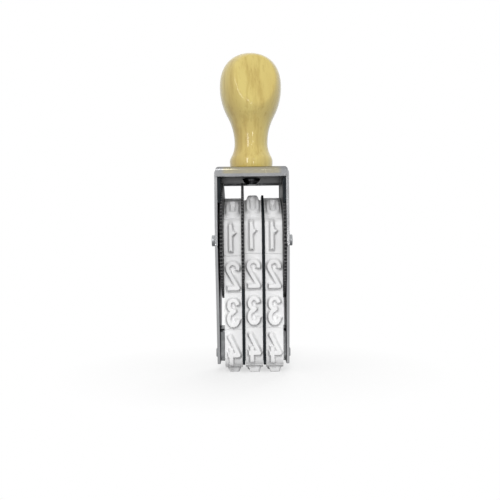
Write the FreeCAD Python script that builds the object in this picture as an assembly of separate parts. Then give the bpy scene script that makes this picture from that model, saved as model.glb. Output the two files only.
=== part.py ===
import FreeCAD, Part
import math
import os

# A hand numbering stamp: a turned wooden handle, a bent metal frame and three rubber number
# bands, each set by its own toothed wheel. It stands on its type, so z is 0 at the print face
# and +Z runs up to the handle. -Y is the front, where the bands are read, and +X is to the
# reader's right. All sizes are in millimetres.

# Number bands: rubber loops that fold over a drum above and a fixed bar below
band_count = 3
band_width = 6.0
band_base = 2.1
type_count = 10
type_pitch = 12.72
type_height = 1.7
type_length = 9.8
type_width = 4.3
type_draft = 0.7
type_weld = 0.4
band_settings = (-0.06, 0.68, 0.56)

# The folds at the top of each band: their centres' depth and rise from the axle
fold_radius = 1.5
fold_front_depth = 8.5
fold_front_rises = (5.0, 5.0, 4.9)
fold_top_depths = (3.0, 0.3, 2.6)
fold_top_rises = (11.5, 11.9, 11.7)
fold_back_depths = (9.5, 11.4, 9.5)
fold_back_rises = (13.3, 10.2, 13.3)

# Platen bar: the fixed bar that backs the bands where they print
platen_drop = 42.4
platen_flat = 9.4
platen_corner = 2.4
platen_height = 11.4
platen_top_round = 1.0
platen_side_play = 0.05
platen_tab_rise = 2.9
platen_tab_height = 2.8
platen_tab_depth = 2.8
platen_tab_proud = 0.5
platen_tab_half_spacing = 3.6
platen_tab_gap = 0.02
band_seat_gap = 0.1

# Drums and toothed discs on the axle
drum_slip_gap = 0.3
disc_radius = 20.5
disc_thickness = 0.8
disc_tooth_count = 100
disc_tooth_depth = 0.55
boss_half_side = 3.1
boss_fit_gap = 0.02
band_side_gap = 0.15
end_play = 0.1
right_play = 0.2

# Axle, riveted over outside the frame
axle_radius = 1.5
axle_bore_gap = 0.05
axle_head_radius = 2.0
axle_head_height = 1.9
axle_hole_gap = 0.03
spacer_thickness = 0.6
spacer_radius = 3.2

# Outer frame: one strip bent to an inverted U
frame_sheet = 1.0
frame_half_depth = 17.0
frame_bend = 1.5
frame_foot_below = 1.0
frame_foot_inset = 0.1
frame_foot_round = 1.8
frame_taper_drop = 2.0
frame_shoulder_round = 5.0

# Inner yoke: a shorter U inside the frame, arched round the discs
yoke_sheet = 1.0
yoke_side_gap = 0.05
yoke_depth_inset = 0.05
yoke_bend = 0.9
disc_arch_gap = 0.5
disc_top_gap = 1.4

# Top cap: a channel over the frame, lips to front and back
cap_sheet = 0.7
cap_lip_drop = 3.4
cap_width = 24.2
cap_side_gap = 0.05
cap_round = 1.2
cap_corner_gap = 0.1

# Handle and its screw
handle_length = 42.2
handle_head_radius = 11.0
handle_crown_rise = 12.0
handle_waist_radius = 5.93
handle_waist_height = 10.1
handle_base_radius = 7.7
handle_foot_inset = 0.6
handle_bead_height = 3.5
shoulder_share = 0.52
cove_share = 0.72
crown_share = 0.87
bead_steps = 1
cove_steps = 2
waist_steps = 2
shoulder_steps = 3
crown_steps = 6
flat_depth = 8.3
flat_tilt = 9.0
flat_turn = 12.6
screw_radius = 1.75
screw_hole_gap = 0.15
screw_bore_gap = 0.03
screw_reach = 18.0
screw_head_radius = 3.0
screw_head_height = 1.6
screw_head_bevel = 1.2
screw_slot_width = 0.8
screw_slot_depth = 0.7
washer_radius = 3.2
washer_thickness = 0.4
washer_split = 0.6
washer_split_turn = 40.0

# Dividers between the bands
divider_proud = 0.7
divider_top_rise = 16.3
divider_foot_below = 0.5
divider_bar_gap = 0.1
divider_bore_gap = 0.1

# How far a cut runs past what it cuts, and how near two points count as one
overrun = 5.0
same_place = 0.001

# Places that follow from the sizes
platen_corner_z_drop = platen_drop - platen_corner
band_outer = band_base + type_height
axle_z = platen_drop + band_seat_gap + band_outer
lane_pitch = disc_thickness + band_width + 2 * band_side_gap
stack_width = disc_thickness + band_count * lane_pitch
frame_inner_width = end_play + spacer_thickness + end_play + stack_width + right_play
inner_half_width = frame_inner_width / 2
outer_half_width = inner_half_width + frame_sheet
first_partition_x = -inner_half_width + end_play + spacer_thickness + end_play
yoke_under_z = axle_z + disc_radius + disc_top_gap
web_under_z = yoke_under_z + yoke_sheet
web_top_z = web_under_z + frame_sheet
cap_top_z = web_top_z + cap_sheet
cap_inner_round = cap_round - cap_sheet
washer_under_z = yoke_under_z - washer_thickness
screw_under_z = washer_under_z - screw_head_height
platen_sole_z = axle_z - platen_drop
platen_top_z = platen_sole_z + platen_height
platen_half_depth = platen_flat / 2 + platen_corner
tab_z = platen_sole_z + platen_tab_rise
frame_foot_z = platen_sole_z - frame_foot_below
frame_foot_half_depth = platen_half_depth - frame_foot_inset
arch_radius = disc_radius + disc_arch_gap


def vec(x, y, z):
    return FreeCAD.Vector(x, y, z)


def box(x_span, y_span, z_span):
    """A box between the low and high value of each span."""
    low = vec(x_span[0], y_span[0], z_span[0])
    return Part.makeBox(x_span[1] - x_span[0], y_span[1] - y_span[0], z_span[1] - z_span[0], low)


def rod_x(radius, x_from, x_to, y=0.0, z=axle_z):
    """A cylinder along X."""
    return Part.makeCylinder(radius, x_to - x_from, vec(x_from, y, z), vec(1, 0, 0))


def rod_z(radius, z_from, z_to):
    """A cylinder about the Z axis."""
    return Part.makeCylinder(radius, z_to - z_from, vec(0, 0, z_from), vec(0, 0, 1))


def on_x_plane(y, z):
    return vec(0, y, z)


def on_y_plane(x, z):
    return vec(x, 0, z)


def rounded_face(corners, place):
    """A face from corners (u, v, radius), in order; a radius of 0 leaves the corner sharp."""
    count = len(corners)
    starts = []
    middles = []
    ends = []
    for index in range(count):
        u, v, radius = corners[index]
        here = place(u, v)
        before = place(*corners[index - 1][:2]) - here
        after = place(*corners[(index + 1) % count][:2]) - here
        before.normalize()
        after.normalize()
        half_angle = before.getAngle(after) / 2
        reach = radius / math.tan(half_angle)
        starts.append(here + before * reach)
        ends.append(here + after * reach)
        inward = before + after
        inward.normalize()
        middles.append(here + inward * (radius / math.sin(half_angle) - radius))
    edges = []
    for index in range(count):
        if corners[index][2] > 0:
            edges.append(Part.Arc(starts[index], middles[index], ends[index]).toShape())
        following = starts[(index + 1) % count]
        if ends[index].distanceToPoint(following) > same_place:
            edges.append(Part.LineSegment(ends[index], following).toShape())
    return Part.Face(Part.Wire(edges))


def plate_x(face, x_from, x_to):
    """A face on the X plane, thickened between two values of x."""
    moved = face.translated(vec(x_from, 0, 0))
    return moved.extrude(vec(x_to - x_from, 0, 0))


def partition_x(index):
    """The left face of a disc or divider, counted from the left."""
    return first_partition_x + index * lane_pitch


def band_x(index):
    """The left face of a number band."""
    return partition_x(index) + disc_thickness + band_side_gap


# The bands' loops. Each middle line is walked from the centre of the sole, forwards round the
# platen bar, up the front, over the folds and down the back. A turn is the angle of the outward
# normal, seen along the axle.

middle_corner_radius = platen_corner + band_seat_gap + band_base / 2
corner_half_depth = platen_flat / 2
corner_z = axle_z - platen_corner_z_drop
quarter = math.pi / 2


def loop_bends(index):
    """The centre and radius of each bend of a loop, from the front of the platen bar to its back."""
    folds = [
        (-fold_front_depth, axle_z + fold_front_rises[index]),
        (fold_top_depths[index], axle_z + fold_top_rises[index]),
        (fold_back_depths[index], axle_z + fold_back_rises[index]),
    ]
    bends = [((-corner_half_depth, corner_z), middle_corner_radius)]
    bends.extend((fold, fold_radius) for fold in folds)
    bends.append(((corner_half_depth, corner_z), middle_corner_radius))
    return bends


def loop_stretches(index):
    """Each stretch: its length, the centre and distance it is drawn from, its normal, if it turns."""
    bends = loop_bends(index)
    normal = -quarter
    stretches = [(corner_half_depth, (0.0, corner_z), middle_corner_radius, normal, False)]
    for bend, (centre, radius) in enumerate(bends):
        leaving = -quarter
        run = corner_half_depth
        if bend + 1 < len(bends):
            following, next_radius = bends[bend + 1]
            ahead_y = following[0] - centre[0]
            ahead_z = following[1] - centre[1]
            distance = math.hypot(ahead_y, ahead_z)
            radius_drop = radius - next_radius
            leaving = math.atan2(ahead_z, ahead_y) + math.acos(radius_drop / distance)
            run = math.sqrt(distance ** 2 - radius_drop ** 2)
        turn = (normal - leaving) % (4 * quarter)
        stretches.append((radius * turn, centre, radius, normal, True))
        normal = normal - turn
        stretches.append((run, centre, radius, normal, False))
    return stretches


def length_of(loop):
    """The length of a loop's middle line."""
    return sum(stretch[0] for stretch in loop)


def inner_reach(stretch):
    """How far a straight stretch's inner face is from the axle."""
    length, centre, reach, normal, turns = stretch
    away = centre[0] * math.cos(normal) + (centre[1] - axle_z) * math.sin(normal)
    return away + reach - band_base / 2


band_loops = [loop_stretches(index) for index in range(band_count)]
drum_radius = min(inner_reach(stretch) for loop in band_loops for stretch in loop
                  if not stretch[4]) - drum_slip_gap


def stretch_point(stretch, along, height):
    """The point on a stretch, that far along it and that high above the band's inner face."""
    length, centre, reach, normal, turns = stretch
    lift = height - band_base / 2
    if turns:
        normal = normal - along / reach
        run = 0.0
    else:
        run = along
    out_y = math.cos(normal)
    out_z = math.sin(normal)
    y = centre[0] + out_y * (reach + lift) + out_z * run
    z = centre[1] + out_z * (reach + lift) - out_y * run
    return vec(0, y, z)


def loop_edges(loop, start, end, height):
    """The edges of a loop's line from one distance to another, at one height."""
    edges = []
    for lap in (-1, 0, 1):
        begins = lap * length_of(loop)
        for stretch in loop:
            first = max(start - begins, 0.0)
            last = min(end - begins, stretch[0])
            if last - first > same_place:
                point_from = stretch_point(stretch, first, height)
                point_to = stretch_point(stretch, last, height)
                if stretch[4]:
                    middle = stretch_point(stretch, (first + last) / 2, height)
                    edges.append(Part.Arc(point_from, middle, point_to).toShape())
                else:
                    edges.append(Part.LineSegment(point_from, point_to).toShape())
            begins = begins + stretch[0]
    return edges


def edge_ends(edges):
    """The first and last point of a chain of edges."""
    first = edges[0].valueAt(edges[0].FirstParameter)
    last = edges[-1].valueAt(edges[-1].LastParameter)
    return first, last


def loop_face(loop, height):
    """A whole loop's outline at one height, as a face."""
    return Part.Face(Part.Wire(loop_edges(loop, 0.0, length_of(loop), height)))


def lies_along(edge, line):
    """True where an edge, seen along X, lies on a line drawn on the X plane."""
    middle = edge.valueAt((edge.FirstParameter + edge.LastParameter) / 2)
    seen = Part.Vertex(vec(0, middle.y, middle.z))
    across = edge.BoundBox.XLength > same_place
    return not across and line.distToShape(seen)[0] < same_place


def type_block(loop, centre):
    """One raised block of type, its left foot at x = 0, drafted on all four sides."""
    half = type_length / 2
    foot = loop_edges(loop, centre - half - type_draft, centre + half + type_draft,
                      band_base - type_weld)
    head = loop_edges(loop, centre - half, centre + half, band_outer)
    foot_first, foot_last = edge_ends(foot)
    head_first, head_last = edge_ends(head)
    ends = [
        Part.LineSegment(foot_first, head_first).toShape(),
        Part.LineSegment(foot_last, head_last).toShape(),
    ]
    outline = Part.Wire(Part.sortEdges(foot + head + ends)[0])
    block = Part.Face(outline).extrude(vec(type_width + 2 * type_draft, 0, 0))
    face_line = Part.Wire(head)
    flanks = [edge for edge in block.Edges if lies_along(edge, face_line)]
    return block.makeChamfer(type_draft, type_height, flanks)


def number_band(index):
    """A rubber loop with ten raised blocks of type, blank at its top and back."""
    loop = band_loops[index]
    ring = loop_face(loop, band_base).cut(loop_face(loop, 0.0))
    band = ring.extrude(vec(band_width, 0, 0))
    inset = (band_width - type_width) / 2 - type_draft
    last_cell = type_count // 2
    blocks = []
    for cell in range(last_cell - type_count + 1, last_cell + 1):
        block = type_block(loop, cell * type_pitch + band_settings[index])
        blocks.append(block.translated(vec(inset, 0, 0)))
    return band.fuse(blocks).removeSplitter().translated(vec(band_x(index), 0, 0))


def toothed_face():
    """The outline of a disc with fine pointed teeth, on the X plane about the axle."""
    half_pitch = math.pi / disc_tooth_count
    root_radius = disc_radius - disc_tooth_depth
    points = []
    for tooth in range(disc_tooth_count):
        for turn, radius in ((-half_pitch, root_radius), (0.0, disc_radius)):
            angle = 2 * half_pitch * tooth + turn
            points.append(vec(0, radius * math.cos(angle), axle_z + radius * math.sin(angle)))
    points.append(points[0])
    return Part.Face(Part.makePolygon(points))


def boss(half_side, x_from, x_to):
    """A square boss about the axle."""
    return box((x_from, x_to), (-half_side, half_side), (axle_z - half_side, axle_z + half_side))


def wheel_disc(x_left):
    """A thin toothed disc with a square hole for the drum's boss."""
    disc = plate_x(toothed_face(), x_left, x_left + disc_thickness)
    hole = boss(boss_half_side + boss_fit_gap, x_left - overrun, x_left + disc_thickness + overrun)
    return disc.cut(hole)


def band_drum(x_disc, drum_side):
    """A drum beside its disc: drum_side is 1 to the right of the disc and -1 to its left."""
    length = band_width + 2 * band_side_gap - end_play
    drum = rod_x(drum_radius, 0.0, length)
    drum = drum.fuse(boss(boss_half_side, -disc_thickness, 0.0))
    bore = rod_x(axle_radius + axle_bore_gap, -disc_thickness - overrun, length + overrun)
    drum = drum.cut(bore).removeSplitter()
    if drum_side < 0:
        return drum.mirror(vec(0, 0, 0), vec(1, 0, 0)).translated(vec(x_disc, 0, 0))
    return drum.translated(vec(x_disc + disc_thickness, 0, 0))


def make_axle():
    """The axle, riveted over to a head outside each side of the frame."""
    pin = rod_x(axle_radius, -outer_half_width, outer_half_width)
    reach = outer_half_width + axle_head_height
    heads = [rod_x(axle_head_radius, -reach, -outer_half_width),
             rod_x(axle_head_radius, outer_half_width, reach)]
    return pin.fuse(heads).removeSplitter()


def make_axle_spacer():
    """The washer that sets the wheels off the left side of the frame."""
    left = -inner_half_width + end_play
    ring = rod_x(spacer_radius, left, left + spacer_thickness)
    return ring.cut(rod_x(axle_radius + axle_bore_gap, left - overrun, left + overrun))


def channel(half_width, sheet, bend, top_z, foot_z, half_depth):
    """A strip bent to an inverted U across X, with its web on top."""
    inner = half_width - sheet
    inner_bend = max(bend - sheet, 0.0)
    corners = [
        (-half_width, foot_z, 0.0), (-half_width, top_z, bend),
        (half_width, top_z, bend), (half_width, foot_z, 0.0),
        (inner, foot_z, 0.0), (inner, top_z - sheet, inner_bend),
        (-inner, top_z - sheet, inner_bend), (-inner, foot_z, 0.0),
    ]
    profile = rounded_face(corners, on_y_plane).translated(vec(0, -half_depth, 0))
    return profile.extrude(vec(0, 2 * half_depth, 0))


def platen_tabs(x_from, x_to, gap):
    """The platen bar's tabs on one side of the frame, or with a gap the slots they pass through."""
    half_depth = platen_tab_depth / 2 + gap
    half_height = platen_tab_height / 2 + gap
    tabs = []
    for y in (-platen_tab_half_spacing, platen_tab_half_spacing):
        tabs.append(box((x_from, x_to), (y - half_depth, y + half_depth),
                        (tab_z - half_height, tab_z + half_height)))
    return tabs


def make_side_frame():
    """The outer frame, its sides tapered below the axle."""
    strip = channel(outer_half_width, frame_sheet, frame_bend, web_top_z, frame_foot_z,
                    frame_half_depth)
    shoulder_z = axle_z - frame_taper_drop
    corners = [
        (-frame_half_depth, web_top_z, cap_inner_round + cap_corner_gap),
        (frame_half_depth, web_top_z, cap_inner_round + cap_corner_gap),
        (frame_half_depth, shoulder_z, frame_shoulder_round),
        (frame_foot_half_depth, frame_foot_z, frame_foot_round),
        (-frame_foot_half_depth, frame_foot_z, frame_foot_round),
        (-frame_half_depth, shoulder_z, frame_shoulder_round),
    ]
    outline = plate_x(rounded_face(corners, on_x_plane), -outer_half_width, outer_half_width)
    frame = strip.common(outline)
    cuts = [rod_x(axle_radius + axle_hole_gap, -outer_half_width, outer_half_width)]
    cuts.extend(platen_tabs(-outer_half_width, outer_half_width, platen_tab_gap))
    cuts.append(rod_z(screw_radius + screw_hole_gap, web_under_z, web_top_z))
    return frame.cut(cuts)


def make_inner_yoke():
    """The inner yoke, its short sides arched to clear the toothed discs."""
    half_width = inner_half_width - yoke_side_gap
    strip = channel(half_width, yoke_sheet, yoke_bend, web_under_z, axle_z,
                    frame_half_depth - yoke_depth_inset)
    arch = rod_x(arch_radius, -half_width, half_width)
    hole = rod_z(screw_radius + screw_hole_gap, yoke_under_z, web_under_z)
    return strip.cut([arch, hole])


def make_top_cap():
    """The cap: a shallow channel, open at its ends, with rounded top edges."""
    inner_depth = frame_half_depth + cap_side_gap
    outer_depth = inner_depth + cap_sheet
    half = cap_width / 2
    lip_z = cap_top_z - cap_lip_drop
    stock = box((-half, half), (-outer_depth, outer_depth), (lip_z, cap_top_z))
    top_edges = [edge for edge in stock.Edges if edge.BoundBox.ZMin > lip_z]
    stock = stock.makeFillet(cap_round, top_edges)
    corners = [
        (-inner_depth, lip_z - overrun, 0.0), (-inner_depth, web_top_z, cap_inner_round),
        (inner_depth, web_top_z, cap_inner_round), (inner_depth, lip_z - overrun, 0.0),
    ]
    room = plate_x(rounded_face(corners, on_x_plane), -half - overrun, half + overrun)
    hole = rod_z(screw_radius + screw_hole_gap, web_top_z - overrun, cap_top_z + overrun)
    return stock.cut([room, hole])


def arc_points(centre, radius, start, end, steps):
    """Points (r, z) along an arc, stepped from one angle to another, its first point left out."""
    points = []
    for step in range(1, steps + 1):
        angle = start + (end - start) * step / steps
        points.append((centre[0] + radius * math.cos(angle), centre[1] + radius * math.sin(angle)))
    return points


def handle_profile():
    """The turned outline from the foot to the crown: bead, cove, waist, shoulder and crown.

    Each arc is tangent to the next. The two arcs of a pair share out the sum of their radii.
    """
    bead_z = cap_top_z + handle_bead_height
    waist_z = cap_top_z + handle_waist_height
    head_z = cap_top_z + handle_length - handle_crown_rise
    flare = handle_base_radius - handle_waist_radius
    rise = waist_z - bead_z
    lower_sum = (flare ** 2 + rise ** 2) / (2 * flare)
    cove_radius = lower_sum * cove_share
    bead_radius = lower_sum - cove_radius
    swell = handle_head_radius - handle_waist_radius
    climb = head_z - waist_z
    upper_sum = (swell ** 2 + climb ** 2) / (2 * swell)
    shoulder_radius = upper_sum * shoulder_share
    waist_curve = upper_sum - shoulder_radius
    bead_end = math.atan2(rise, lower_sum - flare)
    shoulder_start = -math.atan2(climb, upper_sum - swell)
    half_turn = math.pi
    points = [(handle_base_radius - handle_foot_inset, cap_top_z), (handle_base_radius, bead_z)]
    points += arc_points((handle_base_radius - bead_radius, bead_z), bead_radius,
                         0.0, bead_end, bead_steps)
    points += arc_points((handle_waist_radius + cove_radius, waist_z), cove_radius,
                         half_turn + bead_end, half_turn, cove_steps)
    points += arc_points((handle_waist_radius + waist_curve, waist_z), waist_curve,
                         half_turn, half_turn + shoulder_start, waist_steps)
    points += arc_points((handle_head_radius - shoulder_radius, head_z), shoulder_radius,
                         shoulder_start, 0.0, shoulder_steps)
    for step in range(1, crown_steps):
        angle = quarter * step / crown_steps
        points.append((handle_head_radius * math.cos(angle) ** crown_share,
                       head_z + handle_crown_rise * math.sin(angle) ** crown_share))
    return points


def make_handle():
    """The turned handle, with a flat that marks the front."""
    outline = [vec(radius, 0, z) for radius, z in handle_profile()]
    head_z = cap_top_z + handle_length - handle_crown_rise
    crown = vec(0, 0, head_z + handle_crown_rise)
    foot = vec(0, 0, cap_top_z)
    section = Part.Face(Part.makePolygon([foot] + outline + [crown, foot]))
    handle = section.revolve(vec(0, 0, 0), vec(0, 0, 1), 360)
    shaving = box((-handle_length, handle_length), (-handle_length, -flat_depth),
                  (-handle_length, handle_length))
    shaving.rotate(vec(0, 0, 0), vec(1, 0, 0), -flat_tilt)
    shaving.rotate(vec(0, 0, 0), vec(0, 0, 1), flat_turn)
    shaving.translate(vec(0, 0, head_z))
    bore = rod_z(screw_radius + screw_bore_gap, cap_top_z - overrun, cap_top_z + screw_reach)
    return handle.cut([shaving, bore])


def make_handle_screw():
    """The screw from inside the frame up into the handle, its slotted head below."""
    shank_top = cap_top_z + screw_reach - screw_bore_gap
    corners = [
        (0.0, screw_under_z), (screw_head_radius - screw_head_bevel, screw_under_z),
        (screw_head_radius, screw_under_z + screw_head_bevel), (screw_head_radius, washer_under_z),
        (screw_radius, washer_under_z), (screw_radius, shank_top), (0.0, shank_top),
    ]
    outline = [vec(radius, 0, z) for radius, z in corners]
    screw = Part.Face(Part.makePolygon(outline + outline[:1])).revolve(vec(0, 0, 0), vec(0, 0, 1), 360)
    half_slot = screw_slot_width / 2
    slot = box((-screw_head_radius, screw_head_radius), (-half_slot, half_slot),
               (screw_under_z, screw_under_z + screw_slot_depth))
    return screw.cut(slot)


def make_lock_washer():
    """A split washer between the yoke and the screw's head."""
    ring = rod_z(washer_radius, washer_under_z, yoke_under_z)
    hole = rod_z(screw_radius + screw_hole_gap, washer_under_z, yoke_under_z)
    split = box((0.0, washer_radius), (-washer_split / 2, washer_split / 2),
                (washer_under_z, yoke_under_z))
    split.rotate(vec(0, 0, 0), vec(0, 0, 1), washer_split_turn)
    return ring.cut([hole, split])


def divider_blank(x_left):
    """The dividers' shared outline, slotted over the platen bar."""
    height = band_outer + divider_proud
    foot_z = platen_sole_z - divider_foot_below
    blank = plate_x(loop_face(band_loops[0], height), x_left, x_left + disc_thickness)
    keep = box((x_left - overrun, x_left + overrun), (-frame_half_depth, frame_half_depth),
               (foot_z, axle_z + divider_top_rise))
    slot_half = platen_half_depth + divider_bar_gap
    corners = [
        (-slot_half, foot_z - overrun, 0.0), (-slot_half, platen_top_z + divider_bar_gap,
                                              platen_top_round),
        (slot_half, platen_top_z + divider_bar_gap, platen_top_round),
        (slot_half, foot_z - overrun, 0.0),
    ]
    slot = plate_x(rounded_face(corners, on_x_plane), x_left - overrun, x_left + overrun)
    return blank.common(keep).cut(slot)


def make_full_divider():
    """The divider between the second and third bands, hung on the axle."""
    left = partition_x(2)
    bore = rod_x(axle_radius + divider_bore_gap, left - overrun, left + overrun)
    return divider_blank(left).cut(bore)


def make_short_divider():
    """The divider between the first and second bands, below the disc that runs there."""
    left = partition_x(1)
    room = rod_x(arch_radius, left - overrun, left + overrun)
    above = box((left - overrun, left + overrun), (-frame_half_depth, frame_half_depth),
                (axle_z, axle_z + arch_radius))
    return divider_blank(left).cut([room, above])


def make_platen_bar():
    """The bar that the bands print against, its tabs staked through the frame's sides."""
    half = inner_half_width - platen_side_play
    depth = platen_half_depth
    corners = [
        (-depth, platen_sole_z, platen_corner), (depth, platen_sole_z, platen_corner),
        (depth, platen_top_z, platen_top_round), (-depth, platen_top_z, platen_top_round),
    ]
    bar = plate_x(rounded_face(corners, on_x_plane), -half, half)
    reach = outer_half_width + platen_tab_proud
    return bar.fuse(platen_tabs(-reach, reach, 0.0)).removeSplitter()


def build():
    """Every piece of the stamp, by name."""
    pieces = {
        "handle": make_handle(),
        "handle_screw": make_handle_screw(),
        "lock_washer": make_lock_washer(),
        "top_cap": make_top_cap(),
        "side_frame": make_side_frame(),
        "inner_yoke": make_inner_yoke(),
        "axle": make_axle(),
        "axle_spacer": make_axle_spacer(),
        "full_divider": make_full_divider(),
        "short_divider": make_short_divider(),
        "platen_bar": make_platen_bar(),
    }
    wheel_places = [(partition_x(0), 1), (partition_x(1), 1), (partition_x(band_count), -1)]
    for index, (x_disc, drum_side) in enumerate(wheel_places):
        number = str(index + 1)
        pieces["wheel_disc_" + number] = wheel_disc(x_disc)
        pieces["band_drum_" + number] = band_drum(x_disc, drum_side)
        pieces["number_band_" + number] = number_band(index)
    return pieces


os.makedirs("parts", exist_ok=True)
for name, shape in build().items():
    shape.exportStep("parts/" + name + ".step")
    print(name, shape.isValid(), len(shape.Solids), round(shape.Volume, 2))
for loop in band_loops:
    print("band loop", round(length_of(loop), 2))
print("drum radius", round(drum_radius, 2))
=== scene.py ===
import math
import random

import bmesh
import bpy
import numpy as np
from mathutils import Matrix, Vector
from mathutils.geometry import delaunay_2d_cdt


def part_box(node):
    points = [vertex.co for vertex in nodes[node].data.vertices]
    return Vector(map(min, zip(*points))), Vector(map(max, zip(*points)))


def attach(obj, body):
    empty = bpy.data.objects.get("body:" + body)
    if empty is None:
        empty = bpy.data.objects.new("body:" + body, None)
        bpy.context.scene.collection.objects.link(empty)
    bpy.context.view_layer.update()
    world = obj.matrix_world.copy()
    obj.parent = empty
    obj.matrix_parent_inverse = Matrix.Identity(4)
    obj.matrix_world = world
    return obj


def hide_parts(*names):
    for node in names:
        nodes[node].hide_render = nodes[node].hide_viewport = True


# A hand numbering stamp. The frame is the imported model, in metres: +Z up, -Y the front.
# This script adds the rubber bands with their numerals, the turned handle, every material,
# the camera, the floor and the lights.

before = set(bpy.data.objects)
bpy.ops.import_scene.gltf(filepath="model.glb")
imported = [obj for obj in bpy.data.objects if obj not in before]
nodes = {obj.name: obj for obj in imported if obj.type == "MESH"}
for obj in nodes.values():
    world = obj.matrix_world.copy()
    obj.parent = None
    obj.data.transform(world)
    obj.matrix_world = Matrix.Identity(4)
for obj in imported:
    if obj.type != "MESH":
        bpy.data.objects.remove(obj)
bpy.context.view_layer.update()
mm = 0.001
quarter = math.pi / 2
random.seed(7)

# Sizes shared with the model, in metres
band_width = 6.0 * mm
band_base = 2.1 * mm
type_count = 10
type_pitch = 12.72 * mm
type_height = 1.7 * mm
band_settings = (-0.06 * mm, 0.68 * mm, 0.56 * mm)
platen_drop = 42.4 * mm
platen_flat = 9.4 * mm
platen_corner = 2.4 * mm
band_seat_gap = 0.1 * mm
fold_radius = 1.5 * mm
fold_front_depth = 8.5 * mm
fold_front_rises = (5.0 * mm, 5.0 * mm, 4.9 * mm)
fold_top_depths = (3.0 * mm, 0.3 * mm, 2.6 * mm)
fold_top_rises = (11.5 * mm, 11.9 * mm, 11.7 * mm)
fold_back_depths = (9.5 * mm, 11.4 * mm, 9.5 * mm)
fold_back_rises = (13.3 * mm, 10.2 * mm, 13.3 * mm)
disc_radius = 20.5 * mm
handle_length = 42.2 * mm
handle_head_radius = 11.0 * mm
handle_crown_rise = 12.0 * mm
handle_waist_radius = 5.93 * mm
handle_waist_height = 10.1 * mm
handle_base_radius = 7.7 * mm
handle_foot_radius = 7.1 * mm
handle_bead_height = 3.5 * mm
shoulder_share = 0.52
cove_share = 0.72
crown_fullness = 2.3
flat_depth = 8.3 * mm
flat_tilt = math.radians(9.0)
flat_turn = math.radians(12.6)

axle_z = platen_drop + band_seat_gap + band_base + type_height
cap_top_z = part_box("top_cap")[1].z


# Where painted reflection and painted shade sit on the metal parts, in metres
handle_reflection_fade = 1.2 * mm
handle_reflection_low = 2.6 * mm
handle_reflection_full = 2.2 * mm
underside_shade_low = 1.6 * mm
underside_shade_high = 1.2 * mm


# Materials

def new_material(name):
    """A node material, its tree and its Principled shader."""
    material = bpy.data.materials.new(name)
    material.use_nodes = True
    tree = material.node_tree
    return material, tree, tree.nodes["Principled BSDF"]


def place(tree, scale=(1, 1, 1), turn=(0, 0, 0)):
    """Object coordinates, scaled and turned."""
    coordinates = tree.nodes.new("ShaderNodeTexCoord")
    mapping = tree.nodes.new("ShaderNodeMapping")
    mapping.inputs["Scale"].default_value = scale
    mapping.inputs["Rotation"].default_value = turn
    tree.links.new(coordinates.outputs["Object"], mapping.inputs["Vector"])
    return mapping.outputs["Vector"]


def object_axes(tree):
    """The X, Y and Z of object coordinates."""
    coordinates = tree.nodes.new("ShaderNodeTexCoord")
    split = tree.nodes.new("ShaderNodeSeparateXYZ")
    tree.links.new(coordinates.outputs["Object"], split.inputs["Vector"])
    return split.outputs["X"], split.outputs["Y"], split.outputs["Z"]


def noise(tree, scale, detail=3.0, stretch=(1, 1, 1), roughness=0.55, distortion=0.0, turn=(0, 0, 0)):
    """Noise over object coordinates: scale counts features per metre."""
    node = tree.nodes.new("ShaderNodeTexNoise")
    node.inputs["Scale"].default_value = scale
    node.inputs["Detail"].default_value = detail
    node.inputs["Roughness"].default_value = roughness
    node.inputs["Distortion"].default_value = distortion
    tree.links.new(place(tree, stretch, turn), node.inputs["Vector"])
    return node.outputs["Fac"]


def ramp(tree, source, stops):
    """A colour ramp over a value, from (position, colour) stops."""
    node = tree.nodes.new("ShaderNodeValToRGB")
    elements = node.color_ramp.elements
    while len(elements) < len(stops):
        elements.new(0.5)
    for element, (position, colour) in zip(elements, stops):
        element.position = position
        element.color = (*colour, 1.0) if len(colour) == 3 else colour
    tree.links.new(source, node.inputs["Fac"])
    return node.outputs["Color"]


def grey(value):
    """A grey of one level."""
    return (value, value, value)


def mix_colour(tree, factor, first, second, blend="MIX"):
    """Two colours mixed; a factor or colour may be a socket or a value."""
    node = tree.nodes.new("ShaderNodeMix")
    node.data_type = "RGBA"
    node.blend_type = blend
    for socket, value in ((node.inputs[0], factor), (node.inputs[6], first), (node.inputs[7], second)):
        if isinstance(value, bpy.types.NodeSocket):
            tree.links.new(value, socket)
        elif isinstance(value, tuple):
            socket.default_value = (*value, 1.0)
        else:
            socket.default_value = value
    return node.outputs[2]


def math_node(tree, operation, first, second=None, third=None):
    """One sum on sockets or values."""
    node = tree.nodes.new("ShaderNodeMath")
    node.operation = operation
    for socket, value in zip(node.inputs, (first, second, third)):
        if value is None:
            continue
        if isinstance(value, bpy.types.NodeSocket):
            tree.links.new(value, socket)
        else:
            socket.default_value = value
    return node.outputs[0]


def map_range(tree, source, low, high, to_low=0.0, to_high=1.0):
    """A value moved from one range to another, and held to its ends."""
    node = tree.nodes.new("ShaderNodeMapRange")
    node.inputs["From Min"].default_value = low
    node.inputs["From Max"].default_value = high
    node.inputs["To Min"].default_value = to_low
    node.inputs["To Max"].default_value = to_high
    tree.links.new(source, node.inputs["Value"])
    return node.outputs["Result"]


def bump(tree, shader, height, distance, strength=1.0):
    """A fine relief, its distance in metres."""
    node = tree.nodes.new("ShaderNodeBump")
    node.inputs["Distance"].default_value = distance
    node.inputs["Strength"].default_value = strength
    tree.links.new(height, node.inputs["Height"])
    tree.links.new(node.outputs["Normal"], shader.inputs["Normal"])


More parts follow.
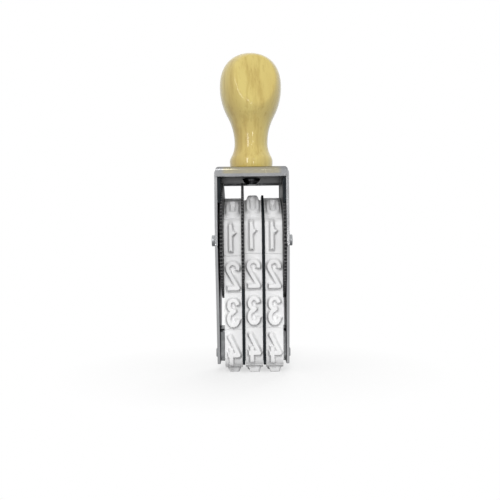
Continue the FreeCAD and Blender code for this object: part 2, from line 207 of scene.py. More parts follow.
def make_wood():
    """Varnished beech: upright grain, pores and a clear gloss coat."""
    material, tree, shader = new_material("beech_varnish")
    broad = noise(tree, 90, 3, (1, 1, 0.16), 0.5, 0.6, (0, 0.03, 0))
    grain = noise(tree, 520, 4, (1, 1, 0.05), 0.6, 0.3, (0, 0.03, 0))
    pores = noise(tree, 1700, 2, (1, 1, 0.07), 0.5, 0.0, (0, 0.03, 0))
    base = ramp(tree, broad, [(0.3, (0.49, 0.36, 0.085)), (0.55, (0.59, 0.475, 0.135)),
                              (0.75, (0.63, 0.535, 0.18))])
    streaks = ramp(tree, grain, [(0.36, (0.80, 0.74, 0.58)), (0.52, grey(1.0))])
    colour = mix_colour(tree, 0.8, base, streaks, "MULTIPLY")
    dots = ramp(tree, pores, [(0.3, (0.66, 0.54, 0.38)), (0.4, grey(1.0))])
    colour = mix_colour(tree, 0.3, colour, dots, "MULTIPLY")
    tree.links.new(colour, shader.inputs["Base Color"])
    shader.inputs["Roughness"].default_value = 0.42
    shader.inputs["Coat Weight"].default_value = 1.0
    shader.inputs["Coat Roughness"].default_value = 0.06
    shader.inputs["Coat IOR"].default_value = 1.5
    swell = noise(tree, 160, 2, (1, 1, 0.4))
    both = math_node(tree, "MULTIPLY_ADD", grain, 0.12, swell)
    bump(tree, shader, both, 0.00035, 0.35)
    return material


def make_nickel(name, handle_reflection_half_width=0.0, shaded_inner_half_width=0.0):
    """Nickel-plated sheet, clouded.

    A width given after the name paints a warm reflection of the wooden handle about its middle; an
    inner half width paints shade inside its sides.
    """
    material, tree, shader = new_material(name)
    cloud = noise(tree, 110, 4)
    fine = noise(tree, 1500, 3, (1, 1, 0.06))
    colour = ramp(tree, cloud, [(0.3, (0.335, 0.34, 0.35)), (0.7, (0.415, 0.418, 0.425))])
    smoothest = 0.12
    if handle_reflection_half_width:
        smoothest = 0.19
        colour = mix_colour(tree, 1.0, colour, grey(0.8), "MULTIPLY")
        # Painted reflection: the wooden handle's warm tan laid on the cap's rounded top edge about its
        # middle, where the cap mirrors the handle above it.
        across, _, up = object_axes(tree)
        aside = math_node(tree, "ABSOLUTE", across)
        middle = map_range(tree, aside, handle_reflection_half_width, handle_reflection_half_width - handle_reflection_fade)
        above = map_range(tree, up, cap_top_z - handle_reflection_low, cap_top_z - handle_reflection_full)
        patches = map_range(tree, noise(tree, 700, 3), 0.35, 0.6, 0.75, 1.0)
        reflection_share = math_node(tree, "MULTIPLY", math_node(tree, "MULTIPLY", middle, above), patches)
        colour = mix_colour(tree, reflection_share, colour, (0.370, 0.340, 0.245))
    clouded = map_range(tree, cloud, 0.3, 0.7, smoothest, smoothest + 0.06)
    rough = math_node(tree, "MULTIPLY_ADD", fine, 0.06, clouded)
    if shaded_inner_half_width:
        # Painted shade and painted dark reflection: the frame's inner faces, between the plates and
        # beside the black wheels, are darkened toward black.
        aside = math_node(tree, "ABSOLUTE", object_axes(tree)[0])
        inside = map_range(tree, aside, shaded_inner_half_width + 0.06 * mm, shaded_inner_half_width + 0.02 * mm)
        inner_shade_colour = mix_colour(tree, 0.62, colour, (0.07, 0.07, 0.078))
        colour = mix_colour(tree, inside, colour, inner_shade_colour)
        rough = math_node(tree, "MULTIPLY_ADD", inside, 0.15, rough)
    tree.links.new(colour, shader.inputs["Base Color"])
    shader.inputs["Metallic"].default_value = 1.0
    shader.inputs["Specular Tint"].default_value = (0.6, 0.6, 0.62, 1.0)
    tree.links.new(rough, shader.inputs["Roughness"])
    dents = noise(tree, 160, 2)
    both = math_node(tree, "MULTIPLY_ADD", fine, 0.04, dents)
    bump(tree, shader, both, 0.00008, 0.35)
    return material


def make_steel(name, low, high, rough_low, rough_high, shaded_below_height=0.0):
    """Turned or cut steel, clouded; where a height is given, its underside is painted darker as shade.
    """
    material, tree, shader = new_material(name)
    cloud = noise(tree, 600, 4)
    turned = noise(tree, 2600, 2, (0.15, 1, 1))
    colour = ramp(tree, cloud, [(0.3, low), (0.7, high)])
    if shaded_below_height:
        # Painted shade: the steel grows darker below the given height, as the axle heads' undersides
        # are shaded.
        unshaded_share = map_range(tree, object_axes(tree)[2], shaded_below_height - underside_shade_low, shaded_below_height + underside_shade_high)
        underside_shade_colour = mix_colour(tree, 0.8, colour, (0.05, 0.05, 0.055))
        colour = mix_colour(tree, unshaded_share, underside_shade_colour, colour)
    tree.links.new(colour, shader.inputs["Base Color"])
    shader.inputs["Metallic"].default_value = 1.0
    tree.links.new(map_range(tree, turned, 0.3, 0.7, rough_low, rough_high), shader.inputs["Roughness"])
    bump(tree, shader, turned, 0.00003, 0.5)
    return material


def make_black_paint():
    """Satin black paint, faintly blue and speckled."""
    material, tree, shader = new_material("black_paint")
    cloud = noise(tree, 420, 4)
    speck = noise(tree, 5200, 2)
    colour = ramp(tree, cloud, [(0.35, (0.007, 0.009, 0.011)), (0.7, (0.016, 0.020, 0.023))])
    tree.links.new(colour, shader.inputs["Base Color"])
    tree.links.new(map_range(tree, speck, 0.3, 0.7, 0.45, 0.6), shader.inputs["Roughness"])
    shader.inputs["Specular IOR Level"].default_value = 0.12
    bump(tree, shader, speck, 0.00003, 0.6)
    return material


def make_disc_black():
    """Black discs, their teeth painted lighter at the tips as a highlight."""
    material, tree, shader = new_material("wheel_black")
    _, along, height = object_axes(tree)
    up = math_node(tree, "SUBTRACT", height, axle_z)
    squares = [math_node(tree, "POWER", way, 2.0) for way in (along, up)]
    reach = math_node(tree, "SQRT", math_node(tree, "ADD", *squares))
    cloud = noise(tree, 700, 4)
    brushed = noise(tree, 3800, 2)
    # Painted highlight: the teeth tips near the rim are lightened in patches, standing in for the
    # glints they catch.
    tip_highlight_mask = map_range(tree, reach, disc_radius - 0.30 * mm, disc_radius - 0.02 * mm)
    tip_highlight = math_node(tree, "MULTIPLY", tip_highlight_mask, map_range(tree, cloud, 0.2, 0.7, 0.35, 1.0))
    colour = ramp(tree, cloud, [(0.3, (0.012, 0.012, 0.013)), (0.7, (0.032, 0.032, 0.034))])
    colour = mix_colour(tree, tip_highlight, colour, (0.14, 0.14, 0.14))
    tree.links.new(colour, shader.inputs["Base Color"])
    tree.links.new(map_range(tree, brushed, 0.3, 0.7, 0.38, 0.52), shader.inputs["Roughness"])
    shader.inputs["Specular IOR Level"].default_value = 0.12
    bump(tree, shader, brushed, 0.00003, 0.5)
    return material


def make_drum_plastic():
    """Dark moulded plastic."""
    material, tree, shader = new_material("drum_plastic")
    cloud = noise(tree, 500, 3)
    fine = noise(tree, 4500, 2)
    colour = ramp(tree, cloud, [(0.3, (0.028, 0.028, 0.031)), (0.7, (0.048, 0.048, 0.052))])
    tree.links.new(colour, shader.inputs["Base Color"])
    tree.links.new(map_range(tree, fine, 0.3, 0.7, 0.42, 0.6), shader.inputs["Roughness"])
    bump(tree, shader, fine, 0.00003, 0.4)
    return material


def make_rubber():
    """White rubber: slightly mottled, with painted shade greying its hollows."""
    material, tree, shader = new_material("white_rubber")
    cloud = noise(tree, 260, 4)
    speck = noise(tree, 2600, 3)
    base = ramp(tree, cloud, [(0.3, (0.80, 0.80, 0.805)), (0.7, (0.86, 0.86, 0.86))])
    mottle = ramp(tree, speck, [(0.3, (0.955, 0.95, 0.955)), (0.55, grey(1.0))])
    colour = mix_colour(tree, 0.8, base, mottle, "MULTIPLY")
    geometry = tree.nodes.new("ShaderNodeNewGeometry")
    # Painted shade: where the surface is hollow, by pointiness, the rubber is greyed.
    hollow_shade = map_range(tree, geometry.outputs["Pointiness"], 0.5, 0.42)
    colour = mix_colour(tree, math_node(tree, "MULTIPLY", hollow_shade, 0.3), colour, (0.5, 0.5, 0.51))
    tree.links.new(colour, shader.inputs["Base Color"])
    tree.links.new(map_range(tree, speck, 0.3, 0.7, 0.42, 0.55), shader.inputs["Roughness"])
    bump(tree, shader, speck, 0.00004, 0.45)
    return material


wood = make_wood()
frame_sheet = 1.0 * mm
frame_inner_half_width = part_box("side_frame")[1].x - frame_sheet
nickel = make_nickel("nickel_sheet", shaded_inner_half_width=frame_inner_half_width)
cap_nickel = make_nickel("nickel_cap", 10.2 * mm)
zinc = make_steel("zinc_steel", (0.36, 0.37, 0.38), (0.46, 0.47, 0.48), 0.2, 0.34, axle_z)
screw_steel = make_steel("screw_steel", (0.07, 0.072, 0.078), (0.13, 0.132, 0.138), 0.25, 0.42)
platen_steel = make_steel("platen_steel", (0.19, 0.195, 0.20), (0.27, 0.275, 0.28), 0.28, 0.45)
black_paint = make_black_paint()
disc_black = make_disc_black()
drum_plastic = make_drum_plastic()
rubber = make_rubber()


# The bands' loops. Each is walked along its middle line from the centre of the sole, forwards
# round the platen bar, up the front, over three folds and down the back.

middle_corner_radius = platen_corner + band_seat_gap + band_base / 2
corner_half_depth = platen_flat / 2
corner_z = axle_z - platen_drop + platen_corner


def loop_bends(index):
    """The centre and radius of each bend, from the front of the platen bar to its back."""
    folds = [
        (-fold_front_depth, axle_z + fold_front_rises[index]),
        (fold_top_depths[index], axle_z + fold_top_rises[index]),
        (fold_back_depths[index], axle_z + fold_back_rises[index]),
    ]
    bends = [((-corner_half_depth, corner_z), middle_corner_radius)]
    bends += [(fold, fold_radius) for fold in folds]
    bends.append(((corner_half_depth, corner_z), middle_corner_radius))
    return bends


def loop_stretches(index):
    """Each stretch: its length, the centre and reach it is drawn from, its normal, if it turns."""
    bends = loop_bends(index)
    normal = -quarter
    stretches = [(corner_half_depth, (0.0, corner_z), middle_corner_radius, normal, False)]
    for bend, (centre, radius) in enumerate(bends):
        leaving = -quarter
        run = corner_half_depth
        if bend + 1 < len(bends):
            following, next_radius = bends[bend + 1]
            ahead = Vector(following) - Vector(centre)
            radius_drop = radius - next_radius
            leaving = math.atan2(ahead.y, ahead.x) + math.acos(radius_drop / ahead.length)
            run = math.sqrt(ahead.length ** 2 - radius_drop ** 2)
        turn = (normal - leaving) % (4 * quarter)
        stretches.append((radius * turn, centre, radius, normal, True))
        normal -= turn
        stretches.append((run, centre, radius, normal, False))
    return stretches


def loop_point(loop, along, height):
    """(y, z) at a distance along a loop and a height above the band's inner face."""
    along = along % sum(stretch[0] for stretch in loop)
    for length, centre, reach, normal, turns in loop:
        if along <= length:
            break
        along -= length
    lift = height - band_base / 2
    run = along
    if turns:
        normal -= along / reach
        run = 0.0
    out_y = math.cos(normal)
    out_z = math.sin(normal)
    return (centre[0] + out_y * (reach + lift) + out_z * run,
            centre[1] + out_z * (reach + lift) - out_y * run)


def straight_point(loop, along, height, over):
    """As loop_point, but held straight past the end of a stretch, as stiff type is."""
    for length, centre, reach, normal, turns in loop[:over]:
        along -= length
    length, centre, reach, normal, turns = loop[over]
    lift = height - band_base / 2
    out_y = math.cos(normal)
    out_z = math.sin(normal)
    return (centre[0] + out_y * (reach + lift) + out_z * along,
            centre[1] + out_z * (reach + lift) - out_y * along)


band_loops = [loop_stretches(index) for index in range(3)]


# Numerals, drawn in millimetres as strokes about the centre of their cell, as they read on paper

half_stroke = 0.58
half_high = 4.9 - half_stroke
stroke_thinning = {0: 0.13, 1: 0.09}
wall_levels = ((-0.12, 1.0), (-0.02, 0.985), (0.05, 0.93), (0.34, 0.36), (0.52, 0.13), (0.70, 0.035),
               (0.90, 0.0))


def arc(cx, cy, rx, ry, start, end, steps=14):
    """Points on an ellipse's arc, its angles in degrees."""
    points = []
    for step in range(steps + 1):
        angle = math.radians(start + (end - start) * step / steps)
        points.append((cx + rx * math.cos(angle), cy + ry * math.sin(angle)))
    return points


def numeral_strokes():
    """Each numeral's strokes: a list of points, and if its first and last ends are cut square."""
    top = half_high
    wide = 1.72
    zero = arc(0, top - 1.7, 1.62, 1.75, 0, 180) + arc(0, 1.7 - top, 1.62, 1.75, 180, 360)
    zero.append(zero[0])
    two = arc(0, top - 1.78, wide, 1.78, 196, -28, 20)
    two += [(-wide, -top + 0.05), (wide + 0.1, -top + 0.05)]
    three_top = arc(-0.05, top - 1.85, 1.5, 1.85, 170, -80, 18)
    three_low = arc(-0.05, -top + 2.2, 1.62, 2.2, 82, -170, 20)
    five = [(1.45, top), (-1.15, top), (-1.45, 0.35)]
    five_bowl = arc(0, -top + 2.35, wide, 2.35, 140, -165, 22)
    six_bowl = arc(0, -top + 2.1, 1.6, 2.1, 0, 360, 28)
    six_back = arc(1.35, -top + 2.1, 2.95, 6.1, 180, 104, 14)
    eight_top = arc(0, top - 1.85, 1.4, 1.85, 0, 360, 26)
    eight_low = arc(0, -top + 2.25, 1.65, 2.25, 0, 360, 28)
    nine_bowl = [(-x, -y) for x, y in six_bowl]
    nine_back = [(-x, -y) for x, y in six_back]
    return {
        0: [(zero, False, False)],
        1: [([(0.62, -top), (0.62, top)], True, False),
            ([(0.62, top - 0.6), (0.25, top - 2.0), (-0.62, top - 2.75)], False, True)],
        2: [(two, True, True)],
        3: [(three_top, True, False), (three_low, False, True),
            ([(-0.35, 0.5), (0.25, 0.5)], False, False)],
        4: [([(1.25, top), (-1.75, -1.95), (1.85, -1.95)], False, True),
            ([(0.8, 0.1), (0.8, -top)], True, True)],
        5: [(five, True, False), (five_bowl, False, True)],
        6: [(six_bowl, False, False), (six_back, False, True)],
        7: [([(-1.75, top), (1.7, top), (-0.5, -top)], True, True)],
        8: [(eight_top, False, False), (eight_low, False, False)],
        9: [(nine_bowl, False, False), (nine_back, False, True)],
    }


# How far from a stroke's square end its cut is looked for
cut_reach = 2.2


def stroke_field(points, strokes):
    """Distance of each point from the nearest stroke's middle line, past square ends too."""
    nearest = np.full(len(points), 1e6)
    for line, square_start, square_end in strokes:
        line = [np.array(p, float) for p in line]
        first_way = line[0] - line[1]
        first_way /= np.linalg.norm(first_way)
        last_way = line[-1] - line[-2]
        last_way /= np.linalg.norm(last_way)
        first_end = line[0].copy()
        last_end = line[-1].copy()
        if square_start:
            line[0] = line[0] + first_way * half_stroke
        if square_end:
            line[-1] = line[-1] + last_way * half_stroke
        own = np.full(len(points), 1e6)
        for a, b in zip(line[:-1], line[1:]):
            span = b - a
            share = np.clip(((points - a) @ span) / (span @ span), 0, 1)
            own = np.minimum(own, np.linalg.norm(points - a - share[:, None] * span, axis=1))
        if square_start:
            beyond = (points - first_end) @ first_way
            close = np.linalg.norm(points - first_end, axis=1) < cut_reach
            own = np.where(close, np.maximum(own, beyond), own)
            own = np.where(close & (beyond > 0), np.maximum(own, beyond + half_stroke), own)
        if square_end:
            beyond = (points - last_end) @ last_way
            close = np.linalg.norm(points - last_end, axis=1) < cut_reach
            own = np.where(close & (beyond > 0), np.maximum(own, beyond + half_stroke), own)
        nearest = np.minimum(nearest, own)
    return nearest


def contour(field, xs, ys, level):
    """The lines where a gridded field equals a level, as point pairs keyed by grid edge."""
    inside = field < level
    points = {}
    links = []
    rows, columns = field.shape

    def crossing(r0, c0, r1, c1):
        key = (r0, c0, r1, c1)
        if key not in points:
            low = field[r0, c0]
            high = field[r1, c1]
            share = (level - low) / (high - low)
            points[key] = (xs[c0] + (xs[c1] - xs[c0]) * share, ys[r0] + (ys[r1] - ys[r0]) * share)
        return key

    corner_sum = (inside[:-1, :-1].astype(int) + inside[:-1, 1:] + inside[1:, :-1] + inside[1:, 1:])
    for r, c in np.argwhere((corner_sum > 0) & (corner_sum < 4)):
        r = int(r)
        c = int(c)
        cut = []
        if inside[r, c] != inside[r, c + 1]:
            cut.append(crossing(r, c, r, c + 1))
        if inside[r, c + 1] != inside[r + 1, c + 1]:
            cut.append(crossing(r, c + 1, r + 1, c + 1))
        if inside[r + 1, c] != inside[r + 1, c + 1]:
            cut.append(crossing(r + 1, c, r + 1, c + 1))
        if inside[r, c] != inside[r + 1, c]:
            cut.append(crossing(r, c, r + 1, c))
        for first, second in zip(cut[::2], cut[1::2]):
            links.append((first, second))
    return points, links


half_width_mm = band_width / mm / 2
half_cell_mm = type_pitch / mm / 2
across_steps = 8
across_stops = [round(-half_width_mm + 2 * half_width_mm * k / across_steps, 6)
                for k in range(across_steps + 1)]
parting_drop = 5.95
parting_half = 0.17
parting_depth = 0.32
side_steps = 32
same_place = 1e-6
band_smooth_angle = 32
handle_smooth_angle = 50
weld_distance = 0.002 * mm
level_clearance = 0.09
field_step = 0.13


def level_height(distance):
    """Height over the floor, as a share of the type's, at a distance from the stroke's edge."""
    if distance <= wall_levels[0][0]:
        return wall_levels[0][1]
    for (d0, h0), (d1, h1) in zip(wall_levels[:-1], wall_levels[1:]):
        if distance <= d1:
            return h0 + (h1 - h0) * (distance - d0) / (d1 - d0)
    return wall_levels[-1][1]


def cell_surface(strokes, half_line=half_stroke):
    """One cell's outer surface in millimetres: vertices (u, s, height) and triangles."""
    side_stops = [round(-half_cell_mm + 2 * half_cell_mm * k / side_steps, 6)
                  for k in range(side_steps + 1)]
    side_stops = [s for s in side_stops if abs(s + parting_drop) > parting_half + 0.05]
    side_stops += [-parting_drop - parting_half, -parting_drop, -parting_drop + parting_half]
    side_stops.sort()
    flat = []
    edges = []
    for s in side_stops:
        flat.append((-half_width_mm, s))
        flat.append((half_width_mm, s))
    for u in across_stops[1:-1]:
        flat.append((u, -half_cell_mm))
        flat.append((u, half_cell_mm))
    for s in side_stops[1:-1]:
        for u in across_stops[1:-1]:
            flat.append((u, s))
    kept = np.array(flat)
    if strokes:
        distance = stroke_field(kept, strokes) - half_line
        on_side = np.abs(np.abs(kept[:, 0]) - half_width_mm) < same_place
        on_edge = on_side | (np.abs(np.abs(kept[:, 1]) - half_cell_mm) < same_place)
        clear = np.full(len(kept), True)
        for level, _ in wall_levels:
            clear &= np.abs(distance - level) > level_clearance
        kept = kept[on_edge | clear]
    flat = [tuple(p) for p in kept]
    if strokes:
        xs = np.arange(-half_width_mm + 0.07, half_width_mm - 0.02, field_step)
        ys = np.arange(-half_cell_mm + 0.1, half_cell_mm - 0.05, field_step)
        grid = np.array([(x, y) for y in ys for x in xs])
        field = (stroke_field(grid, strokes) - half_line).reshape(len(ys), len(xs))
        for level, _ in wall_levels:
            points, links = contour(field, xs, ys, level)
            index = {}
            for key, point in points.items():
                index[key] = len(flat)
                flat.append(point)
            edges.extend((index[a], index[b]) for a, b in links)
    made = delaunay_2d_cdt([Vector(p) for p in flat], edges, [], 0, 1e-5, False)
    points = np.array([tuple(v) for v in made[0]])
    if strokes:
        heights = [level_height(d) for d in stroke_field(points, strokes) - half_line]
    else:
        heights = [0.0] * len(points)
    vertices = []
    for (u, s), share in zip(points, heights):
        height = share * type_height / mm
        if height < 0.01 and abs(s + parting_drop) < 0.01:
            height = -parting_depth
        vertices.append((u, s, height))
    return vertices, [tuple(face) for face in made[2]]


def make_band(index, surfaces):
    """A rubber band with its numerals, mirrored as type is."""
    low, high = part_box("number_band_%d" % (index + 1))
    centre_x = (low.x + high.x) / 2
    loop = band_loops[index]
    loop_length = sum(part[0] for part in loop)
    blank_share = (loop_length - type_count * type_pitch) / type_pitch
    mesh = bmesh.new()
    # The stretch that runs up the front, and where its fold starts
    front_run = 2
    front_fold_at = sum(part[0] for part in loop[:front_run + 1])
    last_cell = type_count // 2
    first_type = last_cell - type_count + 1
    for cell in range(first_type, last_cell + 2):
        numeral = last_cell - cell if cell <= last_cell else None
        vertices, faces = surfaces[numeral]
        stretch = 1.0 if cell <= last_cell else blank_share
        centre_s = (cell + (stretch - 1) / 2) * type_pitch + band_settings[index]
        made = []
        for u, s, height in vertices:
            along = centre_s + s * mm * stretch
            y, z = loop_point(loop, along, band_base + height * mm)
            if cell == last_cell - 1 and height > 0 and along > front_fold_at:
                stiff = min(1.0, height * mm / type_height)
                stiff_y, stiff_z = straight_point(loop, along, band_base + height * mm, front_run)
                y += (stiff_y - y) * stiff
                z += (stiff_z - z) * stiff
            made.append(mesh.verts.new((centre_x - u * mm, y, z)))
        for face in faces:
            mesh.faces.new([made[i] for i in face])
        rims = {-1: [], 1: []}
        for vertex, (u, s, height) in zip(made, vertices):
            if abs(abs(u) - half_width_mm) < 1e-5:
                rims[1 if u > 0 else -1].append((s, vertex))
        inner = {}
        for side, rim in rims.items():
            rim.sort(key=lambda item: item[0])
            line = []
            for s, vertex in rim:
                y, z = loop_point(loop, centre_s + s * mm * stretch, 0.0)
                line.append(mesh.verts.new((centre_x - side * half_width_mm * mm, y, z)))
            for k in range(len(rim) - 1):
                mesh.faces.new((rim[k][1], rim[k + 1][1], line[k + 1], line[k]))
            inner[side] = line
        for k in range(len(inner[1]) - 1):
            mesh.faces.new((inner[-1][k], inner[-1][k + 1], inner[1][k + 1], inner[1][k]))
    bmesh.ops.remove_doubles(mesh, verts=mesh.verts, dist=weld_distance)
    bmesh.ops.recalc_face_normals(mesh, faces=mesh.faces)
    return finish_mesh(mesh, "band_%d" % (index + 1), rubber, band_smooth_angle)


def finish_mesh(mesh, name, material, smooth_angle):
    """A bmesh made into an object, smooth but for edges sharper than an angle."""
    data = bpy.data.meshes.new(name)
    mesh.to_mesh(data)
    mesh.free()
    for polygon in data.polygons:
        polygon.use_smooth = True
    data.set_sharp_from_angle(angle=math.radians(smooth_angle))
    data.materials.append(material)
    piece = bpy.data.objects.new(name, data)
    bpy.context.scene.collection.objects.link(piece)
    return piece


surfaces = {None: cell_surface(None)}
for numeral, strokes in numeral_strokes().items():
    surfaces[numeral] = cell_surface(strokes, half_stroke - stroke_thinning.get(numeral, 0.0))
for index in range(3):
    band = make_band(index, surfaces)
    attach(band, "frame")
    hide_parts("number_band_%d" % (index + 1))


# The turned handle

def arc_points(centre, radius, start, end, steps):
    """Points (r, z) along an arc, its first point left out."""
    points = []
    for step in range(1, steps + 1):
        angle = start + (end - start) * step / steps
        points.append((centre[0] + radius * math.cos(angle), centre[1] + radius * math.sin(angle)))
    return points


def handle_profile():
    """The turned outline from the foot to the crown: bead, cove, waist, shoulder and crown."""
    bead_z = cap_top_z + handle_bead_height
    waist_z = cap_top_z + handle_waist_height
    head_z = cap_top_z + handle_length - handle_crown_rise
    flare = handle_base_radius - handle_waist_radius
    rise = waist_z - bead_z
    lower_sum = (flare ** 2 + rise ** 2) / (2 * flare)
    cove_radius = lower_sum * cove_share
    bead_radius = lower_sum - cove_radius
    swell = handle_head_radius - handle_waist_radius
    climb = head_z - waist_z
    upper_sum = (swell ** 2 + climb ** 2) / (2 * swell)
    shoulder_radius = upper_sum * shoulder_share
    waist_curve = upper_sum - shoulder_radius
    bead_end = math.atan2(rise, lower_sum - flare)
    shoulder_start = -math.atan2(climb, upper_sum - swell)
    points = [(0.0, cap_top_z)]
    foot_steps = 10
    for step in range(foot_steps + 1):
        below = 1 - step / foot_steps
        points.append((handle_base_radius - (handle_base_radius - handle_foot_radius) * below ** 2,
                       bead_z - handle_bead_height * below))
    points += arc_points((handle_base_radius - bead_radius, bead_z), bead_radius, 0.0, bead_end, 8)
    points += arc_points((handle_waist_radius + cove_radius, waist_z), cove_radius,
                         math.pi + bead_end, math.pi, 14)
    points += arc_points((handle_waist_radius + waist_curve, waist_z), waist_curve,
                         math.pi, math.pi + shoulder_start, 22)
    points += arc_points((handle_head_radius - shoulder_radius, head_z), shoulder_radius,
                         shoulder_start, 0.0, 32)
    crown_steps = 54
    for step in range(1, crown_steps + 1):
        angle = quarter * step / crown_steps
        points.append((handle_head_radius * math.cos(angle) ** (2 / crown_fullness),
                       head_z + handle_crown_rise * math.sin(angle) ** (2 / crown_fullness)))
    points[-1] = (0.0, points[-1][1])
    return points


def make_handle():
    """The handle, its flat pressed into the lathed form with a softened rim."""
    segments = 256
    rim_softness = 0.40 * mm
    head_z = cap_top_z + handle_length - handle_crown_rise
    turn = Matrix.Rotation(flat_turn, 3, "Z") @ Matrix.Rotation(-flat_tilt, 3, "X")
    outward = turn @ Vector((0, -1, 0))
    start = turn @ Vector((0, -flat_depth, 0)) + Vector((0, 0, head_z))
    mesh = bmesh.new()
    rings = []
    for radius, z in handle_profile():
        if radius < 0.001 * mm:
            rings.append([mesh.verts.new((0, 0, z))])
            continue
        ring = []
        for k in range(segments):
            angle = 2 * math.pi * k / segments
            point = Vector((radius * math.cos(angle), radius * math.sin(angle), z))
            depth = (point - start).dot(outward)
            if depth > -rim_softness * 6:
                point -= outward * (depth + math.sqrt(depth ** 2 + rim_softness ** 2)) / 2
            ring.append(mesh.verts.new(point))
        rings.append(ring)
    for lower, upper in zip(rings[:-1], rings[1:]):
        for k in range(segments):
            after = (k + 1) % segments
            if len(lower) == 1:
                mesh.faces.new((lower[0], upper[after], upper[k]))
            elif len(upper) == 1:
                mesh.faces.new((lower[k], lower[after], upper[0]))
            else:
                mesh.faces.new((lower[k], lower[after], upper[after], upper[k]))
    bmesh.ops.recalc_face_normals(mesh, faces=mesh.faces)
    return finish_mesh(mesh, "turned_handle", wood, handle_smooth_angle)


handle = make_handle()
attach(handle, "frame")
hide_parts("handle")


# The model's own pieces: softened edges and materials

def dress(name, material, width=0.0, segments=2, angle=30):
    """A piece of the model: its edges welded and bevelled by modifiers, and its material."""
    piece = nodes[name]
    piece.data.materials.clear()
    piece.data.materials.append(material)
    if width:
        weld = piece.modifiers.new("weld", "WELD")
        weld.merge_threshold = 0.001 * mm
        merge = piece.modifiers.new("flats", "DECIMATE")
        merge.decimate_type = "DISSOLVE"
        merge.angle_limit = math.radians(1.0)
        soften = piece.modifiers.new("edges", "BEVEL")
        soften.width = width
        soften.segments = segments
        soften.limit_method = "ANGLE"
        soften.angle_limit = math.radians(angle)
        soften.harden_normals = True
    return piece


dress("side_frame", nickel, 0.14 * mm)
dress("top_cap", cap_nickel, 0.12 * mm)
dress("inner_yoke", black_paint, 0.12 * mm)
dress("full_divider", black_paint, 0.12 * mm)
dress("short_divider", black_paint, 0.12 * mm)
dress("platen_bar", platen_steel, 0.2 * mm)
dress("axle", zinc, 0.55 * mm, 4)
dress("axle_spacer", zinc, 0.06 * mm)
dress("handle_screw", screw_steel, 0.3 * mm)
dress("lock_washer", screw_steel, 0.06 * mm)
for index in (1, 2, 3):
    dress("wheel_disc_%d" % index, disc_black)
    dress("band_drum_%d" % index, drum_plastic, 0.2 * mm)


# Camera: near the height of the stamp's middle, straight on, and turned a little about its line
# of sight to match the photograph

camera_data = bpy.data.cameras.new("camera")
camera_lens = 50.3
camera_data.lens = camera_lens
camera_data.sensor_width = 36.0
camera_data.clip_start = 0.01
camera = bpy.data.objects.new("camera", camera_data)
bpy.context.scene.collection.objects.link(camera)
roll = math.radians(0.65)
right_way = Vector((math.cos(roll), 0, -math.sin(roll)))
up_way = Vector((math.sin(roll), 0, math.cos(roll)))
back_way = Vector((0, -1, 0))
pose = Matrix((right_way, up_way, back_way)).transposed().to_4x4()
camera_place = (-0.8 * mm, -251 * mm, 42.85 * mm)
pose.translation = Vector(camera_place)
camera.matrix_world = pose
bpy.context.scene.camera = camera


# Floor: pale, and white to the camera away from the stamp; it keeps the stamp's shadow

def sees_white(tree):
    """1 for camera, glossy and transmission rays."""
    path = tree.nodes.new("ShaderNodeLightPath")
    glossy = math_node(tree, "MAXIMUM", path.outputs["Is Camera Ray"], path.outputs["Is Glossy Ray"])
    return math_node(tree, "MAXIMUM", glossy, path.outputs["Is Transmission Ray"])


# How the floor's glow grows with the distance from the stamp
glow_starts = 20 * mm
glow_full = 70 * mm
glow_least = 0.6


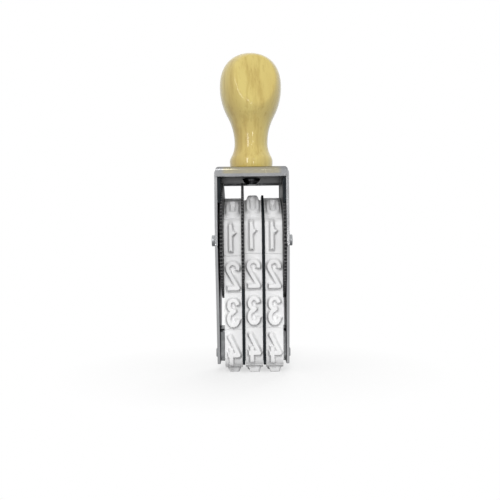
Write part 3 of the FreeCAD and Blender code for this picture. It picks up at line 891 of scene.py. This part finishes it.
def make_floor():
    """A pale floor that glows white away from the stamp and takes its shadow near it."""
    reach = 3.0
    data = bpy.data.meshes.new("floor")
    data.from_pydata([(-reach, -reach, 0), (reach, -reach, 0), (reach, reach, 0), (-reach, reach, 0)],
                     [], [(0, 1, 2, 3)])
    floor = bpy.data.objects.new("floor", data)
    bpy.context.scene.collection.objects.link(floor)
    material, tree, shader = new_material("floor")
    tree.nodes.remove(shader)
    output = tree.nodes["Material Output"]
    white = sees_white(tree)
    diffuse = tree.nodes.new("ShaderNodeBsdfDiffuse")
    tree.links.new(mix_colour(tree, white, grey(0.30), grey(0.96)), diffuse.inputs["Color"])
    glow = tree.nodes.new("ShaderNodeEmission")
    glow.inputs["Color"].default_value = (1, 1, 1, 1)
    coordinates = tree.nodes.new("ShaderNodeTexCoord")
    length = tree.nodes.new("ShaderNodeVectorMath")
    length.operation = "LENGTH"
    tree.links.new(coordinates.outputs["Object"], length.inputs[0])
    away = map_range(tree, length.outputs["Value"], glow_starts, glow_full, glow_least, 1.0)
    mixer = tree.nodes.new("ShaderNodeMixShader")
    tree.links.new(math_node(tree, "MULTIPLY", away, white), mixer.inputs["Fac"])
    tree.links.new(diffuse.outputs[0], mixer.inputs[1])
    tree.links.new(glow.outputs[0], mixer.inputs[2])
    tree.links.new(mixer.outputs[0], output.inputs["Surface"])
    data.materials.append(material)
    return floor


make_floor()


# World: white where it is seen, dimmer as light

world = bpy.data.worlds.new("studio")
world.use_nodes = True
bpy.context.scene.world = world
background = world.node_tree.nodes["Background"]
level = mix_colour(world.node_tree, sees_white(world.node_tree), grey(0.36), grey(1.0))
world.node_tree.links.new(level, background.inputs["Color"])
background.inputs["Strength"].default_value = 1.0


aim_height = 60 * mm


def lamp(name, place_at, size, power, shows=False):
    """A soft lamp aimed at the stamp's middle. One that shows makes highlights and no more."""
    data = bpy.data.lights.new(name, "AREA")
    data.shape = "RECTANGLE"
    data.size, data.size_y = size
    data.energy = power
    light = bpy.data.objects.new(name, data)
    light.location = place_at
    light.visible_glossy = shows
    light.visible_diffuse = not shows
    aim = Vector((0, 0, aim_height)) - Vector(place_at)
    light.rotation_euler = aim.to_track_quat("-Z", "Y").to_euler()
    bpy.context.scene.collection.objects.link(light)


# The light on the object, then three lamps for highlights only, then the sides and back
lamp("key", (-0.03, -0.80, 0.48), (0.20, 0.24), 3.7)
lamp("front_fill", (0.0, -0.85, 0.18), (0.20, 0.14), 2.3)
lamp("overhead", (-0.05, -0.30, 0.60), (0.30, 0.30), 0.3)
lamp("front_left", (-0.19, -0.50, 0.19), (0.08, 0.34), 0.5, True)
lamp("front_right", (0.13, -0.56, 0.21), (0.03, 0.08), 0.06, True)
lamp("front_low", (0.09, -0.50, 0.035), (0.03, 0.06), 0.06, True)
lamp("side_left", (-0.55, -0.30, 0.30), (0.40, 0.40), 0.35)
lamp("side_right", (0.60, -0.30, 0.25), (0.40, 0.40), 0.35)
lamp("back", (0.15, 0.60, 0.45), (0.40, 0.40), 2.0)

bpy.context.scene.view_settings.view_transform = "Standard"
